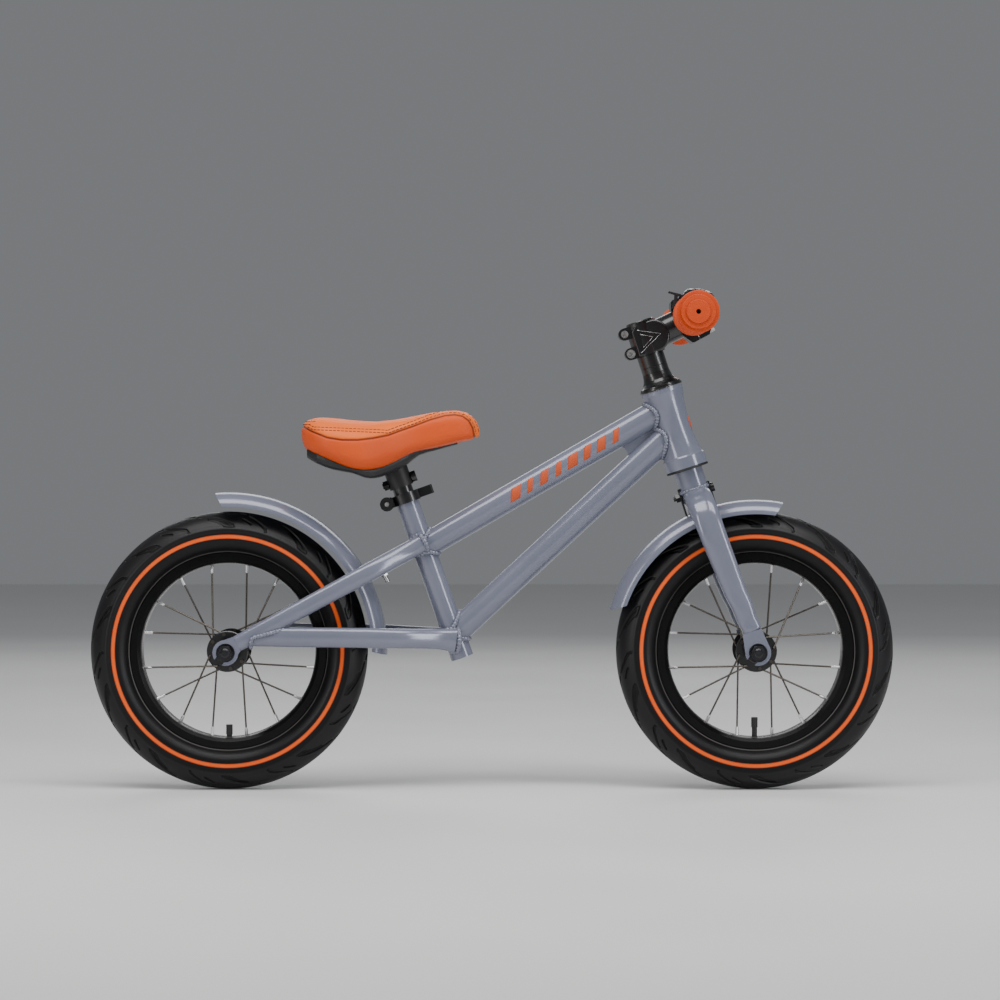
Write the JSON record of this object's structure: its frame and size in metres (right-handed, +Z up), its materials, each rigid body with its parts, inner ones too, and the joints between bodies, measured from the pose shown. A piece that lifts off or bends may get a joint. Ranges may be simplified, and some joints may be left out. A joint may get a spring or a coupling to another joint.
{
  "type": "balance bike",
  "caption": "Child's pedal-free balance bike: steel twin-tube frame, steered fork, spoked wheels with fenders, padded saddle on a quick-release post, grips and a bell.",
  "frame": {"origin": "on the ground midway between the two axles, in the bike's mid plane", "axes": "+X forward from rear wheel to front wheel, +Y to the bike's left, +Z up"},
  "size_m": [0.883, 0.404, 0.5481],
  "materials": {
    "frame_paint": "gloss",
    "black_metal": "satin",
    "black_alloy": "satin black",
    "black_plastic": "satin",
    "tyre_rubber": "matt",
    "tyre_stripe": "matt",
    "black_rubber": "matt",
    "steel": "satin",
    "dark_steel": "blackened",
    "grip_rubber": "satin",
    "saddle_leather": "satin grained",
    "foam": "open foam"
  },
  "bodies": {
    "frame": {"head_tube": "frame_paint", "top_tube": "frame_paint", "down_tube": "frame_paint", "seat_tube": "frame_paint", "frame_gusset": "frame_paint", "seat_stay_left": "frame_paint", "seat_stay_right": "frame_paint", "chain_stay_left": "frame_paint", "chain_stay_right": "frame_paint", "rear_dropouts": "frame_paint", "seat_stay_bridge": "frame_paint", "headset_bearings": "steel", "rear_fender": "frame_paint", "rear_fender_bracket": "steel", "seat_collar": "black_alloy", "qr_skewer": "steel", "rear_axle": "dark_steel", "rear_axle_nuts": "dark_steel"},
    "steering": {"steerer_tube": "steel", "headset_seal": "black_rubber", "fork_crown": "frame_paint", "fork_leg_left": "frame_paint", "fork_leg_right": "frame_paint", "front_dropouts": "frame_paint", "headset_cover": "black_alloy", "headset_spacers": "black_alloy", "stem_body": "black_alloy", "stem_faceplate": "black_alloy", "stem_bolts": "steel", "top_cap": "black_alloy", "handlebar": "black_alloy", "grip_left": "grip_rubber", "grip_right": "grip_rubber", "bell_base": "black_plastic", "bell_dome": "black_metal", "front_fender": "frame_paint", "front_fender_bracket": "black_metal", "front_axle": "dark_steel", "front_axle_nuts": "dark_steel"},
    "front_wheel": {"front_tyre": "tyre_rubber", "front_tyre_stripe": "tyre_stripe", "front_inner_tube": "black_rubber", "front_rim": "black_alloy", "front_spokes": "steel", "front_hub": "black_alloy"},
    "rear_wheel": {"rear_tyre": "tyre_rubber", "rear_tyre_stripe": "tyre_stripe", "rear_inner_tube": "black_rubber", "rear_rim": "black_alloy", "rear_spokes": "steel", "rear_hub": "black_alloy"},
    "seat": {"seat_post": "black_alloy", "saddle_shell": "black_plastic", "saddle_foam": "foam", "saddle_cover": "saddle_leather", "saddle_bolt": "black_metal"},
    "qr_lever": {"qr_lever": "black_alloy"},
    "qr_nut": {"qr_nut": "black_alloy"},
    "bell_striker": {"bell_striker": "black_plastic"}
  },
  "joints": [
    {"name": "steering_turn", "type": "hinge", "parent": "frame", "child": "steering", "pos_m": [0.2148, 0, 0.3535], "axis": [-0.3107, 0, 0.9505], "range_deg": [-90, 90]},
    {"name": "front_wheel_spin", "type": "hinge", "parent": "steering", "child": "front_wheel", "pos_m": [0.289, 0, 0.1525], "axis": [0, 1, 0], "continuous": true},
    {"name": "rear_wheel_spin", "type": "hinge", "parent": "frame", "child": "rear_wheel", "pos_m": [-0.289, 0, 0.1525], "axis": [0, 1, 0], "continuous": true},
    {"name": "seat_height", "type": "slide", "parent": "frame", "child": "seat", "axis": [-0.3338, 0, 0.9426], "range_m": [-0.005, 0.06]},
    {"name": "clamp_lever_swing", "type": "hinge", "parent": "frame", "child": "qr_lever", "pos_m": [-0.11503, 0.0146, 0.31299], "axis": [-0.3338, 0, 0.9426], "range_deg": [0, 170]},
    {"name": "clamp_nut_turn", "type": "hinge", "parent": "frame", "child": "qr_nut", "pos_m": [-0.11503, -0.0126, 0.31299], "axis": [0, 1, 0], "continuous": true},
    {"name": "bell_striker_flick", "type": "hinge", "parent": "steering", "child": "bell_striker", "pos_m": [0.19811, -0.058, 0.5286], "axis": [0, -1, 0], "range_deg": [0, 25], "stiffness_Nm_per_rad": 0.02, "springref_deg": -8.59}
  ]
}
